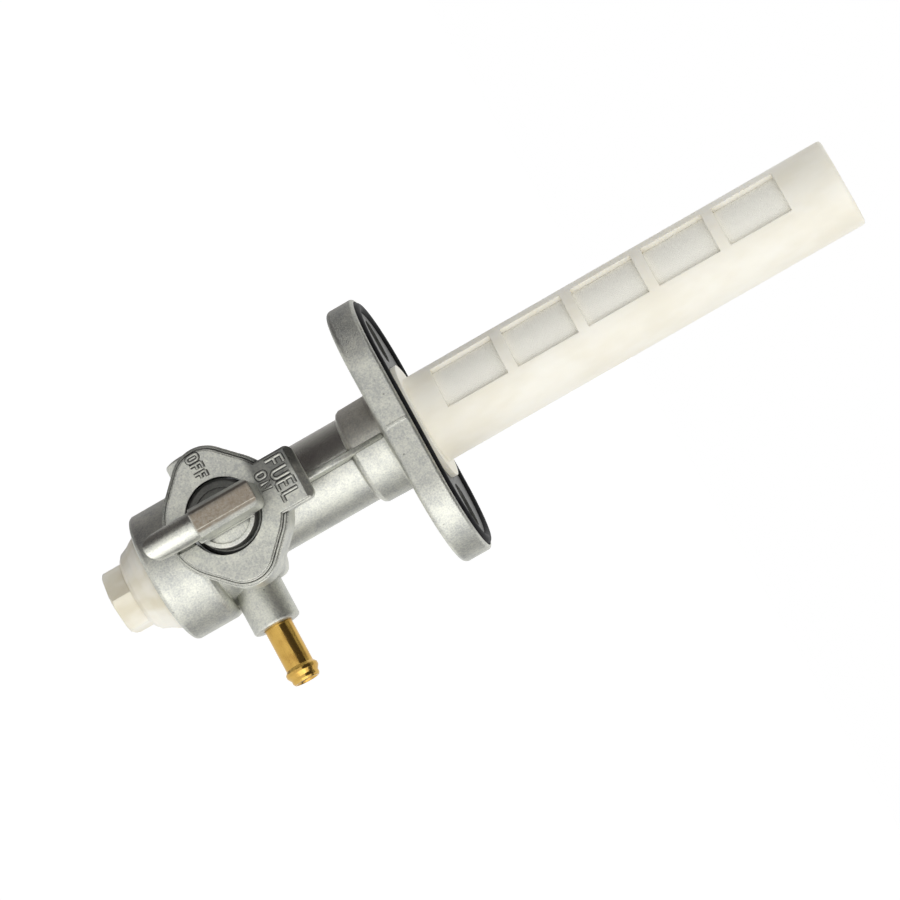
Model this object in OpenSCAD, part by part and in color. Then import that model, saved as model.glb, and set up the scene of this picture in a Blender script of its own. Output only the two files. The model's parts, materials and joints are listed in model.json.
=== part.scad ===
// Fuel tap with a tank filter, a turning lever and a screwed sediment bowl.
// Millimetres. +Z points up into the tank, +X along the outlet, -Y towards the lever.
// The origin is the centre of the flange's top face, which meets the tank.

/* [Flange] */
// Length of the tank flange over its round ends
flange_length = 64; // [54:1:76]
// Width of the tank flange
flange_width = 34; // [31:1:40]
// Thickness of the tank flange
flange_thickness = 7; // [5:0.5:10]
// Distance between the two bolt slots
bolt_spacing = 42; // [40:1:46]
// Width of each bolt slot, for M6 bolts
slot_width = 7; // [6.4:0.2:8]
// Length of each bolt slot
slot_length = 10.8; // [9:0.2:12]
// Thickness of the flange seal
flange_seal_section = 2.6; // [2:0.1:3]

/* [Tank filter] */
// Height of the filter above the flange
filter_length = 107; // [90:1:130]
// Outer diameter of the filter tube
filter_diameter = 21; // [19:0.5:22]
// Windows in each row
window_count = 5; // [3:1:7]
// Rows of windows round the tube
window_rows = 2; // [1:1:4]
// Distance from one window to the next
window_pitch = 17.8; // [15:0.1:20]
// Height of one window
window_height = 15.2; // [10:0.2:17]
// Angle that each window spans
window_angle = 62; // [40:1:75]
// Height of the reserve standpipe's mouth above the flange
standpipe_height = 46; // [20:1:80]

/* [Body] */
// Diameter of the neck
neck_diameter = 20.4; // [19:0.2:24]
// Diameter of the shoulder under the flange
shoulder_diameter = 23.5; // [22:0.5:27]
// Diameter of the block behind the valve
block_diameter = 28.8; // [28:0.5:33]
// Diameter of the bowl housing
housing_diameter = 31.3; // [30:0.1:36]
// Sideways offset of the bowl housing towards the outlet
bowl_offset = 1.7; // [0:0.1:3]

/* [Valve] */
// Drop from the flange to the lever's axis
valve_drop = 45.5; // [44:0.5:60]
// Radius of the cover plate round the lever
cover_radius = 13.1; // [12.8:0.1:15]
// Reach of the cover plate's side lobes from the lever's axis
lobe_reach = 15.7; // [15:0.1:19]
// Radius of the cover plate's round window
window_radius = 8.6; // [8.4:0.1:9]
// Thickness of the cover plate
cover_thickness = 3; // [2:0.2:4]
// Width of the cover plate's upper tab
tab_width = 12.9; // [10:0.5:14]
// Reach of the upper tab above the lever's axis
tab_reach = 19.9; // [17:0.5:22]

/* [Lever] */
// Length of the lever's head, from the axis
lever_head = 9.8; // [9.2:0.1:12]
// Length of the lever's tail, from the axis
lever_tail = 17.3; // [14:0.2:24]
// Width of the lever
lever_width = 6.9; // [6:0.2:9]
// Height of the lever above the cover plate
lever_height = 11.4; // [8:0.2:14]

/* [Outlet] */
// Drop from the flange to the outlet's axis
outlet_drop = 50.1; // [50:0.1:64]
// Diameter of the two cross bosses
boss_diameter = 11.2; // [10.6:0.1:13]
// Reach of the outlet boss from the neck's axis
boss_reach = 23.6; // [21:0.2:30]
// Reach of the blind boss on the other side
blind_reach = 19.7; // [18:0.1:28]
// Outer diameter of the outlet pipe
pipe_diameter = 6.6; // [5.6:0.1:8]
// Bore of the outlet pipe
pipe_bore = 4.6; // [4:0.1:5]
// Length of the outlet pipe that stands out of its boss
pipe_length = 13.9; // [10:0.1:20]

/* [Sediment bowl] */
// Depth of the bowl's dome below the housing
dome_depth = 6.4; // [5:0.2:9]
// Width of the bowl's hexagon across its flats
hex_flats = 14.3; // [12:0.1:17]
// Height of the bowl's hexagon
hex_height = 5.1; // [4:0.1:8]

/* [Hidden] */
$fn = 96;
// Small overlap that joins shapes of one piece
eps = 0.01;
// Radial clearance of the turning fits
run = 0.06;

// Colours
cast_grey = [0.66, 0.66, 0.63];
worn_grey = [0.60, 0.58, 0.53];
nylon = [0.93, 0.90, 0.80];
mesh_white = [0.88, 0.87, 0.88];
brass = [0.80, 0.60, 0.25];
rubber = [0.06, 0.06, 0.07];
spring_steel = [0.55, 0.56, 0.58];

// Flange
end_r = flange_width / 2;
end_x = flange_length / 2 - end_r;
seal_r = end_r - 1.0 - flange_seal_section / 2;
seal_groove = flange_seal_section + 0.3;
seal_depth = flange_seal_section * 0.69;
top_edge = 0.8;
low_edge = 1.3;

// Neck and passages
neck_r = neck_diameter / 2;
shoulder_r = shoulder_diameter / 2;
shoulder_low = -flange_thickness - 9.2;
passage_x = 4.6;
passage_r = 2;
pipe_seat_r = 2.5;
pipe_seat_depth = 12;
pilot_r = 9;
pilot_depth = 3;

// Block, housing and chamber
block_r = block_diameter / 2;
block_top = -valve_drop + 3.5;
housing_r = housing_diameter / 2;
housing_top = -outlet_drop - boss_diameter / 2 - 1.1;
housing_low = housing_top - 11.2;
chamber_r = 12;
chamber_top = housing_top - 1;
nose_r = 5.2;
nose_length = 3.5;

// Valve, measured forward from the neck's axis
port_r = 1.8;
port_reach = 4.9;
port_turn = 20;
floor_y = 12;
valve_r = 9.3;
packing_t = 3;
rotor_t = 3.6;
spring_t = 1.4;
rotor_back = floor_y + packing_t;
rotor_front = rotor_back + rotor_t;
cover_back = rotor_front + spring_t;
cover_front = cover_back + cover_thickness;
hub_r = window_radius - 0.4;
hub_front = cover_front + 1;
bar_low = hub_front + 0.4;
bar_top = cover_front + lever_height;
// Distance from the axis to the step between the lever's head block and its tail
step_z = 5;
stop_r = hub_r - 1;
stop_w = 2.6;
seal_section = 1.8;
seal_in = valve_r - run - seal_section;
lobe_r = 7;
// Centre of the side lobes and the angle at which their flanks leave the cover's circle
lobe_x = lobe_reach - lobe_r;
rim = 1;
rim_back = 1;
boss_plate = 7.6;
tab_shift = -0.5;
tab_bevel = 2.2;
peg_r = 1.5;
peg_x = valve_r + peg_r + 1.1;
// Half width of the cover plate's lower gap
gap_half = 2.6;

// Outlet
boss_r = boss_diameter / 2;
pipe_r = pipe_diameter / 2;
pipe_seat = 9;
pipe_press = 0.1;
pipe_end = boss_reach + pipe_length;
bead_x = pipe_end - 2.5;
bead_r = pipe_r + 0.6;

// Filter
filter_r = filter_diameter / 2;
filter_wall = 1.25;
filter_in = filter_r - filter_wall;
first_window = 7.8;
cap_low = first_window + (window_count - 1) * window_pitch + window_height;
base_r = 14;
base_t = 1.2;
base_seat = 0.4;
base_flat = seal_r - seal_groove / 2 - 0.7;
row_turn = 22;

// Bowl
thread_r = chamber_r;
bowl_top = chamber_top - 2;
bowl_in = thread_r - 2.1;
dome_low = housing_low - dome_depth;
dome_end_r = 8.9;
hex_r = hex_flats / sqrt(3);
hex_low = dome_low - hex_height;
strainer_r = 6.2;
strainer_low = chamber_top - 13.5;

// Places and turns a shape drawn in plan so that it rises towards -Y at the valve's axis
module at_valve(y = 0) {
    translate([0, -y, -valve_drop])
        rotate([90, 0, 0])
            children();
}

// Flat ring
module ring(r_out, r_in, h) {
    difference() {
        cylinder(h = h, r = r_out);
        translate([0, 0, -1])
            cylinder(h = h + 2, r = r_in);
    }
}

// Stadium outline along X
module stadium(half, r) {
    square([2 * half, 2 * r], center = true);
    for (s = [-1, 1])
        translate([s * half, 0])
            circle(r = r);
}

// Half section of a plate edge with a round top corner and a round low corner
module edge_section(r, t, top, low) {
    difference() {
        translate([0, -t])
            square([r, t]);
        translate([r - top, -top])
            square([top + 1, top + 1]);
        translate([r - low, -t - 1])
            square([low + 1, low + 1]);
    }
    translate([r - top, -top])
        circle(r = top, $fn = 32);
    translate([r - low, -t + low])
        circle(r = low, $fn = 32);
}

// Flange plate with rounded edges
module flange_plate() {
    for (s = [-1, 1])
        translate([s * end_x, 0, 0])
            rotate_extrude()
                edge_section(end_r, flange_thickness, top_edge, low_edge);
    for (s = [0, 1])
        mirror([0, s, 0])
            translate([-end_x, 0, 0])
                rotate([90, 0, 90])
                    linear_extrude(2 * end_x)
                        edge_section(end_r, flange_thickness, top_edge, low_edge);
}

// Racetrack bar along a stadium line
module racetrack_groove(half, r, w, depth) {
    translate([0, 0, -depth])
        linear_extrude(depth + 1)
            difference() {
                stadium(half, r + w / 2);
                stadium(half, r - w / 2);
            }
}

// Outline shared by the cover and the body's valve boss, grown by g, seen from the front
module cover_outline(g = 0) {
    flank = acos(min(1, (cover_radius - lobe_r) / lobe_x));
    // The straight flanks run a hair inside the two circles that they join
    r = cover_radius + g - 0.02;
    l = lobe_r + g - 0.02;
    circle(r = cover_radius + g);
    for (s = [-1, 1]) {
        translate([s * lobe_x, 0])
            circle(r = lobe_r + g);
        polygon([
            [s * r * cos(flank), r * sin(flank)], [s * (lobe_x + l * cos(flank)), l * sin(flank)],
            [s * (lobe_x + l * cos(flank)), -l * sin(flank)], [s * r * cos(flank), -r * sin(flank)]]);
    }
}

// Outline of the cover's upper tab, grown by g, with round corners
module tab_outline(g = 0) {
    w = tab_width / 2 + g;
    c = 1.5;
    translate([tab_shift, 0]) {
        translate([-w, 0])
            square([2 * w, tab_reach + g - c]);
        translate([-w + c, 0])
            square([2 * w - 2 * c, tab_reach + g]);
        for (s = [-1, 1])
            translate([s * (w - c), tab_reach + g - c])
                circle(r = c, $fn = 32);
    }
}

// Outline of the filter's base, grown by g: round with two flats that clear the seal
module base_outline(g = 0) {
    intersection() {
        circle(r = base_r + g);
        square([2 * base_r + 2 * g + 2, 2 * base_flat + 2 * g], center = true);
    }
}

// Turned outside of the neck, its shoulder and the block behind the valve
module body_column() {
    rotate_extrude()
        polygon([
            [0, -1], [neck_r + 3.1, -1], [neck_r + 3.1, -flange_thickness],
            [shoulder_r + 0.9, -flange_thickness - 0.2], [shoulder_r + 0.25, -flange_thickness - 0.7],
            [shoulder_r, -flange_thickness - 1.4], [shoulder_r - 0.15, shoulder_low + 1.2],
            [shoulder_r - 0.55, shoulder_low + 0.4], [shoulder_r - 1.2, shoulder_low],
            [neck_r, shoulder_low - 0.2], [neck_r, block_top + 0.9],
            [neck_r + 0.3, block_top + 0.3], [neck_r + 0.9, block_top],
            [block_r - 1.4, block_top - 0.2], [block_r - 0.6, block_top - 0.6],
            [block_r - 0.15, block_top - 1.3], [block_r, block_top - 2.2],
            [block_r, housing_top - 1], [0, housing_top - 1]]);
}

// Turned outside of the bowl housing
module body_housing() {
    translate([bowl_offset, 0, 0])
        rotate_extrude()
            polygon([
                [0, housing_top + 1.2], [housing_r - 1.6, housing_top + 1.2],
                [housing_r - 0.9, housing_top + 0.9], [housing_r - 0.3, housing_top + 0.3],
                [housing_r, housing_top - 0.6], [housing_r, housing_low + 0.9],
                [housing_r - 0.3, housing_low + 0.3], [housing_r - 0.9, housing_low],
                [0, housing_low]]);
}

// Cross boss along +X with a softened end
module cross_boss(reach) {
    translate([0, 0, -outlet_drop])
        rotate([0, 90, 0])
            rotate_extrude()
                polygon([
                    [0, 0], [boss_r + 0.1, 0], [boss_r, reach - 0.5],
                    [boss_r - 0.15, reach - 0.15], [boss_r - 0.5, reach], [0, reach]]);
}

// Valve boss: a round barrel out of the block, and a plate with a softened rim round the cover
module valve_boss() {
    front = cover_front - rim_back;
    at_valve(4)
        cylinder(h = front - 5, r = valve_r + 2.1);
    at_valve(front - boss_plate)
        linear_extrude(boss_plate - 0.5)
            cover_outline(rim);
    at_valve(front - 0.5 - eps)
        linear_extrude(0.5 + eps)
            cover_outline(rim - 0.4);
}

// Pocket in the valve boss that the cover lies in
module cover_pocket() {
    at_valve(cover_back)
        linear_extrude(cover_thickness) {
            cover_outline(0.12);
            tab_outline(0.12);
        }
}

// Seam that the two halves of the mould leave down the front and the back
module mould_seam() {
    for (s = [-1, 1])
        translate([-0.45, s * (neck_r - 0.6) - 0.6, block_top - 1])
            cube([0.9, 1.2, shoulder_low - block_top + 1.2]);
    for (s = [-1, 1])
        translate([-0.4, s * (shoulder_r - 0.7) - 0.6, shoulder_low + 0.3])
            cube([0.8, 1.2, 9.2]);
    for (s = [-1, 1])
        translate([-0.35, s * (end_r - 0.4) - 0.5, -flange_thickness + low_edge])
            cube([0.7, 1, flange_thickness - low_edge - top_edge]);
}

// Drilled passages: main and reserve down the neck, ports into the valve, outlet through the bowl
module passages() {
    for (s = [-1, 1])
        translate([s * passage_x, 0, -valve_drop + s * port_reach * sin(port_turn)])
            cylinder(h = valve_drop + 5, r = passage_r, $fn = 48);
    translate([passage_x, 0, -pipe_seat_depth])
        cylinder(h = pipe_seat_depth + 1, r = pipe_seat_r, $fn = 48);
    for (s = [-1, 1])
        at_valve(-passage_r * 0.5)
            translate([s * port_reach * cos(port_turn), s * port_reach * sin(port_turn), 0])
                cylinder(h = floor_y + 2, r = port_r, $fn = 48);
    at_valve(8)
        cylinder(h = 5, r = port_r, $fn = 48);
    translate([0, -8, chamber_top - 1])
        cylinder(h = -valve_drop - chamber_top + 1 + port_r, r = port_r, $fn = 48);
    translate([bowl_offset, 0, chamber_top - nose_length - 1])
        cylinder(h = -outlet_drop - chamber_top + nose_length + 1, r = pipe_bore / 2, $fn = 48);
    translate([bowl_offset - pipe_bore / 2, 0, -outlet_drop])
        rotate([0, 90, 0])
            cylinder(h = boss_reach, r = pipe_bore / 2 - 0.25, $fn = 48);
    translate([boss_reach - pipe_seat, 0, -outlet_drop])
        rotate([0, 90, 0])
            cylinder(h = pipe_seat + 1, r = pipe_r + pipe_press, $fn = 48);
}

// Cast body: flange, neck, valve boss, bowl housing and the two cross bosses
module body() {
    color(cast_grey) {
        difference() {
            union() {
                flange_plate();
                body_column();
                body_housing();
                cross_boss(boss_reach);
                mirror([1, 0, 0])
                    cross_boss(blind_reach);
                valve_boss();
                mould_seam();
            }
            racetrack_groove(end_x, seal_r, seal_groove, seal_depth);
            for (s = [-1, 1])
                translate([s * bolt_spacing / 2, 0, -flange_thickness - 1])
                    linear_extrude(flange_thickness + 2)
                        stadium(slot_length / 2 - slot_width / 2, slot_width / 2);
            translate([0, 0, -pilot_depth])
                cylinder(h = pilot_depth + 1, r = pilot_r);
            translate([0, 0, -base_seat])
                linear_extrude(base_seat + 1)
                    base_outline(0.1);
            passages();
            at_valve(floor_y)
                cylinder(h = cover_back - floor_y + 1, r = valve_r);
            cover_pocket();
            difference() {
                translate([bowl_offset, 0, housing_low - 1])
                    cylinder(h = chamber_top - housing_low + 1, r = chamber_r);
                translate([bowl_offset, 0, chamber_top - nose_length])
                    ring(nose_r, pipe_bore / 2, nose_length + 1);
            }
            translate([bowl_offset, 0, housing_low - eps])
                cylinder(h = 0.8, r1 = chamber_r + 0.8, r2 = chamber_r);
        }
        at_valve(cover_back - 1)
            for (s = [-1, 1])
                translate([s * peg_x, 0, 0])
                    cylinder(h = 2.6, r = peg_r, $fn = 32);
    }
}

// Rubber ring in the flange's groove
module flange_seal() {
    z = -seal_depth + flange_seal_section / 2;
    color(rubber) {
        for (s = [-1, 1])
            translate([s * end_x, 0, z])
                rotate([0, 0, s * 90 + 180])
                    rotate_extrude(angle = 180)
                        translate([seal_r, 0])
                            circle(d = flange_seal_section, $fn = 32);
        for (s = [-1, 1])
            translate([-end_x, s * seal_r, z])
                rotate([0, 90, 0])
                    cylinder(h = 2 * end_x, d = flange_seal_section, $fn = 32);
    }
}

// Moulded filter tube with rows of windows, a closed end and a base that the tank face holds
module filter_frame() {
    color(nylon)
        difference() {
            union() {
                rotate_extrude()
                    polygon([
                        [0, base_t / 2], [filter_r, base_t / 2], [filter_r, filter_length - 0.7],
                        [filter_r - 0.2, filter_length - 0.2], [filter_r - 0.7, filter_length],
                        [0, filter_length]]);
                translate([0, 0, -base_seat])
                    linear_extrude(base_seat + base_t)
                        base_outline();
                translate([0, 0, -pilot_depth])
                    cylinder(h = pilot_depth + base_t, r = pilot_r);
            }
            translate([0, 0, base_t])
                cylinder(h = filter_length - base_t - 2, r = filter_in);
            translate([0, 0, -pilot_depth - 1])
                cylinder(h = pilot_depth + base_t + 2, r = pilot_r - 1.2);
            for (k = [0:window_rows - 1])
                rotate([0, 0, -90 - row_turn + k * 360 / window_rows - window_angle / 2])
                    for (i = [0:window_count - 1])
                        translate([0, 0, first_window + i * window_pitch])
                            rotate_extrude(angle = window_angle)
                                translate([filter_in - 1, 0])
                                    square([filter_wall + 2, window_height]);
        }
}

// Fine gauze tube inside the filter's windows
module filter_mesh() {
    color(mesh_white)
        translate([0, 0, first_window - 3])
            ring(filter_in, filter_in - 0.3, cap_low - first_window + 6);
}

// Brass standpipe that takes the main feed above the reserve
module standpipe() {
    color(brass)
        translate([passage_x, 0, -pipe_seat_depth])
            ring(pipe_seat_r, passage_r, pipe_seat_depth + standpipe_height);
}

// Horseshoe cover plate with side lobes, a stop tongue, a lower gap and the upper tab
module cover_plate() {
    color(cast_grey)
        difference() {
            union() {
                at_valve(cover_back)
                    linear_extrude(cover_thickness - 0.5) {
                        cover_outline();
                        tab_outline();
                    }
                at_valve(cover_back + cover_thickness - 0.5 - eps)
                    linear_extrude(0.5 + eps) {
                        cover_outline(-0.35);
                        tab_outline(-0.35);
                    }
            }
            difference() {
                at_valve(cover_back - 1)
                    cylinder(h = cover_thickness + 2, r = window_radius);
                at_valve(cover_back)
                    translate([-stop_w / 2, stop_r + 0.2, 0])
                        cube([stop_w, 3, cover_thickness - 0.6]);
            }
            at_valve(cover_back - 1)
                translate([-gap_half, -cover_radius - 2, 0])
                    cube([2 * gap_half, cover_radius - window_radius * 0.6, cover_thickness + 2]);
            at_valve(cover_back - 1)
                for (s = [-1, 1])
                    translate([s * peg_x, 0, 0])
                        cylinder(h = 2.6, r = peg_r, $fn = 32);
            // Bevelled end of the tab
            translate([tab_shift, -cover_front, -valve_drop + tab_reach])
                rotate([45, 0, 0])
                    cube([2 * tab_width, tab_bevel, tab_bevel], center = true);
        }
}

// Outline of the lever's bar seen from the front, with round ends
module lever_outline() {
    r_head = 1.6;
    r_tail = 2.4;
    w = lever_width / 2;
    w_tail = lever_width / 2 - 0.7;
    difference() {
        polygon([
            [-w + 0.2, lever_head], [w - 0.2, lever_head], [w, -step_z],
            [w_tail, -lever_tail], [-w_tail, -lever_tail], [-w, -step_z]]);
        for (s = [-1, 1])
            translate([s * (w_tail - r_tail), -lever_tail + r_tail])
                difference() {
                    translate([s > 0 ? 0 : -r_tail - 2, -r_tail - 2])
                        square([r_tail + 2, r_tail + 2]);
                    circle(r = r_tail, $fn = 48);
                }
        for (s = [-1, 1])
            translate([s * (w - 0.2 - r_head), lever_head - r_head])
                difference() {
                    translate([s > 0 ? 0 : -r_head - 2, 0])
                        square([r_head + 2, r_head + 2]);
                    circle(r = r_head, $fn = 48);
                }
    }
}

// Section of the lever's head block: upright sides and bevels up to a flat top
module head_section(top) {
    w = lever_width / 2;
    polygon([[-w, bar_low], [w, bar_low], [w, top - 2.1], [w - 1.6, top], [-w + 1.6, top], [-w, top - 2.1]]);
}

// Section of the lever's round tail, with a narrow web under it
module tail_section(top) {
    w = lever_width / 2 - 0.2;
    translate([-w * 0.55, bar_low + 1.6])
        square([w * 1.1, top - w - bar_low - 1.6]);
    translate([0, top - w])
        circle(r = w, $fn = 64);
}

// Lever, cast in one with the valve's rotor
module lever() {
    color(worn_grey)
        difference() {
            union() {
                at_valve(rotor_back)
                    cylinder(h = rotor_t, r = valve_r - run);
                at_valve(rotor_back)
                    cylinder(h = hub_front - rotor_back - 0.7, r = hub_r);
                at_valve(hub_front - 0.7 - eps)
                    cylinder(h = 0.7 + eps, r1 = hub_r, r2 = hub_r - 0.7);
                // Web that joins the bar to the hub
                intersection() {
                    at_valve(hub_front - 1)
                        cylinder(h = 3, r = hub_r - 0.7);
                    at_valve(hub_front - 1)
                        translate([-lever_width / 2, -lever_tail, 0])
                            cube([lever_width, lever_tail + lever_head, 3]);
                }
                // Bar
                intersection() {
                    at_valve(bar_low)
                        linear_extrude(bar_top - bar_low)
                            lever_outline();
                    union() {
                        translate([0, 0, -valve_drop - step_z])
                            linear_extrude(step_z + lever_head + 1)
                                mirror([0, 1])
                                    head_section(bar_top);
                        translate([0, 0, -valve_drop - lever_tail - 1])
                            linear_extrude(lever_tail + 1)
                                mirror([0, 1])
                                    tail_section(bar_top - 1.2);
                    }
                }
            }
            // Shallow dish in the hub's face, on both sides of the bar
            difference() {
                at_valve(hub_front - 0.4)
                    cylinder(h = 0.41, r = hub_r - 2);
                at_valve(hub_front - 1)
                    translate([-lever_width / 2, -lever_tail, 0])
                        cube([lever_width, lever_tail + lever_head, 3]);
            }
            // Groove that joins the outlet port to the chosen feed port
            at_valve(rotor_back - 1)
                rotate([0, 0, port_turn])
                    translate([0, -port_r, 0])
                        cube([port_reach, 2 * port_r, 2.6]);
            at_valve(rotor_back - 1)
                for (r = [0, port_reach])
                    rotate([0, 0, port_turn])
                        translate([r, 0, 0])
                            cylinder(h = 2.6, r = port_r, $fn = 48);
            // Groove for the rotor's seal
            at_valve(rotor_back + (rotor_t - seal_section) / 2 - 0.05)
                ring(valve_r + 1, seal_in, seal_section + 0.1);
            // Rebate that the cover's stop tongue runs in, a half turn long
            stop_half = asin(stop_w / 2 / stop_r) + 1.5;
            at_valve(cover_back - 0.4)
                rotate([0, 0, -90 - stop_half])
                    rotate_extrude(angle = 180 + 2 * stop_half)
                        translate([stop_r, 0])
                            square([4, hub_front - cover_back + 2]);
        }
}

// Seal ring in the rotor's edge
module lever_seal() {
    color(rubber)
        at_valve(rotor_back + rotor_t / 2)
            rotate_extrude()
                translate([seal_in + seal_section / 2, 0])
                    circle(d = seal_section, $fn = 32);
}

// Height of the wave spring at angle a
function wave(a) = (spring_t - 0.4) / 2 * cos(3 * a) - 0.02 * cos(3 * a);

// Three-wave spring washer between the rotor and the cover
module wave_spring() {
    steps = 72;
    r_in = hub_r + 0.25;
    r_out = valve_r - 0.25;
    t = 0.36;
    points = [for (i = [0:steps - 1]) let (a = i * 360 / steps)
        each [
            [r_in * cos(a), r_in * sin(a), wave(a) - t / 2],
            [r_out * cos(a), r_out * sin(a), wave(a) - t / 2],
            [r_out * cos(a), r_out * sin(a), wave(a) + t / 2],
            [r_in * cos(a), r_in * sin(a), wave(a) + t / 2]]];
    faces = [for (i = [0:steps - 1]) let (j = (i + 1) % steps)
        each [for (k = [0:3]) let (m = (k + 1) % 4)
            each [
                [4 * i + k, 4 * j + k, 4 * j + m],
                [4 * i + k, 4 * j + m, 4 * i + m]]]];
    color(spring_steel)
        at_valve(rotor_front + spring_t / 2)
            polyhedron(points = points, faces = faces);
}

// Rubber packing disc with the three ports
module valve_packing() {
    color(rubber)
        at_valve(floor_y)
            difference() {
                cylinder(h = packing_t - 0.02, r = valve_r - 0.1);
                translate([0, 0, -1])
                    cylinder(h = packing_t + 2, r = port_r, $fn = 48);
                for (s = [-1, 1])
                    translate([s * port_reach * cos(port_turn), s * port_reach * sin(port_turn), -1])
                        cylinder(h = packing_t + 2, r = port_r, $fn = 48);
            }
}

// Brass outlet pipe with a bead that holds the hose
module outlet_pipe() {
    color(brass)
        translate([0, 0, -outlet_drop])
            rotate([0, 90, 0])
                difference() {
                    union() {
                        translate([0, 0, boss_reach - pipe_seat])
                            cylinder(h = pipe_seat + 0.3, r = pipe_r + pipe_press);
                        translate([0, 0, boss_reach - pipe_seat])
                            cylinder(h = pipe_end - boss_reach + pipe_seat - 0.5, r = pipe_r);
                        translate([0, 0, pipe_end - 0.5 - eps])
                            cylinder(h = 0.5 + eps, r1 = pipe_r, r2 = pipe_r - 0.35);
                        rotate_extrude()
                            polygon([
                                [0, bead_x - 1.1], [pipe_r, bead_x - 1.1], [bead_r - 0.1, bead_x - 0.5],
                                [bead_r, bead_x - 0.35], [bead_r, bead_x + 0.35],
                                [bead_r - 0.1, bead_x + 0.5], [pipe_r, bead_x + 1.3], [0, bead_x + 1.3]]);
                    }
                    translate([0, 0, -1])
                        cylinder(h = pipe_end + 2, r = pipe_bore / 2);
                    translate([0, 0, pipe_end - 0.5])
                        cylinder(h = 0.6, r1 = pipe_bore / 2, r2 = pipe_bore / 2 + 0.4);
                }
}

// Sediment bowl: threaded sleeve, dome and hexagon in one moulding
module bowl() {
    color(nylon)
        translate([bowl_offset, 0, 0])
            difference() {
                union() {
                    rotate_extrude()
                        polygon([
                            [0, bowl_top], [thread_r - 0.8, bowl_top], [thread_r, bowl_top - 0.8],
                            [thread_r, housing_low - 0.4], [thread_r - 0.25, housing_low - 1.3],
                            [thread_r - 0.85, housing_low - 2.4], [thread_r - 1.6, housing_low - 3.5],
                            [dome_end_r + 0.7, dome_low + 1], [dome_end_r - 0.2, dome_low + 0.2],
                            [dome_end_r - 1, dome_low - 0.1], [0, dome_low - 0.1]]);
                    translate([0, 0, hex_low])
                        intersection() {
                            rotate([0, 0, 30])
                                cylinder(h = hex_height + 0.5, r = hex_r, $fn = 6);
                            rotate_extrude()
                                polygon([[0, 0], [hex_r - 0.7, 0], [hex_r, 0.6], [hex_r, hex_height + 0.5],
                                    [0, hex_height + 0.5]]);
                        }
                }
                rotate_extrude()
                    polygon([
                        [0, bowl_top + 1], [bowl_in, bowl_top + 1], [bowl_in, housing_low - 0.6],
                        [bowl_in - 1.2, housing_low - 3.6], [dome_end_r - 2.6, dome_low + 0.6],
                        [4.6, dome_low - 0.4], [4.2, hex_low + 2.2], [0, hex_low + 2.2]]);
            }
}

// Seal ring on the bowl's upper edge
module bowl_seal() {
    color(rubber)
        translate([bowl_offset, 0, chamber_top - 1])
            rotate_extrude()
                translate([(bowl_in + thread_r) / 2 - 0.1, 0])
                    circle(r = 1, $fn = 32);
}

// Strainer cage: a collar on the body's nose, four ribs and a closed foot
module strainer_frame() {
    color(nylon)
        translate([bowl_offset, 0, 0]) {
            translate([0, 0, chamber_top - nose_length])
                ring(strainer_r, nose_r, nose_length - 0.2);
            translate([0, 0, strainer_low])
                cylinder(h = 1.2, r = strainer_r);
            for (k = [0:3])
                rotate([0, 0, 45 + 90 * k])
                    translate([strainer_r - 1.3, -0.6, strainer_low])
                        cube([1.1, 1.2, chamber_top - nose_length - strainer_low + 0.5]);
        }
}

// Fine gauze tube round the strainer cage
module strainer_mesh() {
    color(mesh_white)
        translate([bowl_offset, 0, strainer_low + 1.2])
            ring(strainer_r + 0.25, strainer_r, chamber_top - nose_length - strainer_low + 0.8);
}

body();
flange_seal();
filter_frame();
filter_mesh();
standpipe();
cover_plate();
lever();
lever_seal();
wave_spring();
valve_packing();
outlet_pipe();
bowl();
bowl_seal();
strainer_frame();
strainer_mesh();
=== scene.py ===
"""Finishes, cast lettering, stage and camera for a fuel tap that hangs in a tank's floor.

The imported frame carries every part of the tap. This file gives each of them its material, adds the
words on the cover plate and the ribs of the casting's parting line, and sets up the lamps, floor
and camera. Lengths are in metres and colours in linear light.
"""

import json
import math

import bmesh
import bpy
from bpy.props import FloatProperty, FloatVectorProperty, PointerProperty
from mathutils import Matrix, Vector


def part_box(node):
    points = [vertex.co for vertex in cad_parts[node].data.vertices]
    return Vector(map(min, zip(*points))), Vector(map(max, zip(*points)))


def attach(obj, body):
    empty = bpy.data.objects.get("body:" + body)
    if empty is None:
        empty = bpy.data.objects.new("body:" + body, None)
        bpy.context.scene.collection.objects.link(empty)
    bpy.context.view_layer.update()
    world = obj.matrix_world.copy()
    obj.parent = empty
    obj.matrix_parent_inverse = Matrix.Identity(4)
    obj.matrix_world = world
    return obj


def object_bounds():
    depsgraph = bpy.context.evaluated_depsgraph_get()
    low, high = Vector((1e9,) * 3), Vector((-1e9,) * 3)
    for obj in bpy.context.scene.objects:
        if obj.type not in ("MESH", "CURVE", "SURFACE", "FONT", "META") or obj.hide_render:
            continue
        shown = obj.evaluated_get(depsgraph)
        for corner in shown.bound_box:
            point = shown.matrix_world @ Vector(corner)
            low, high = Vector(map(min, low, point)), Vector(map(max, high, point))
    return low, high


bl_info = {
    "name": "Fuel tap finishes",
    "version": (1, 0, 0),
    "blender": (4, 5, 0),
    "location": "3D View > Sidebar > Fuel Tap",
    "description": "Materials, cast lettering and a plain studio for a fuel tap",
    "category": "Object",
}

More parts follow.
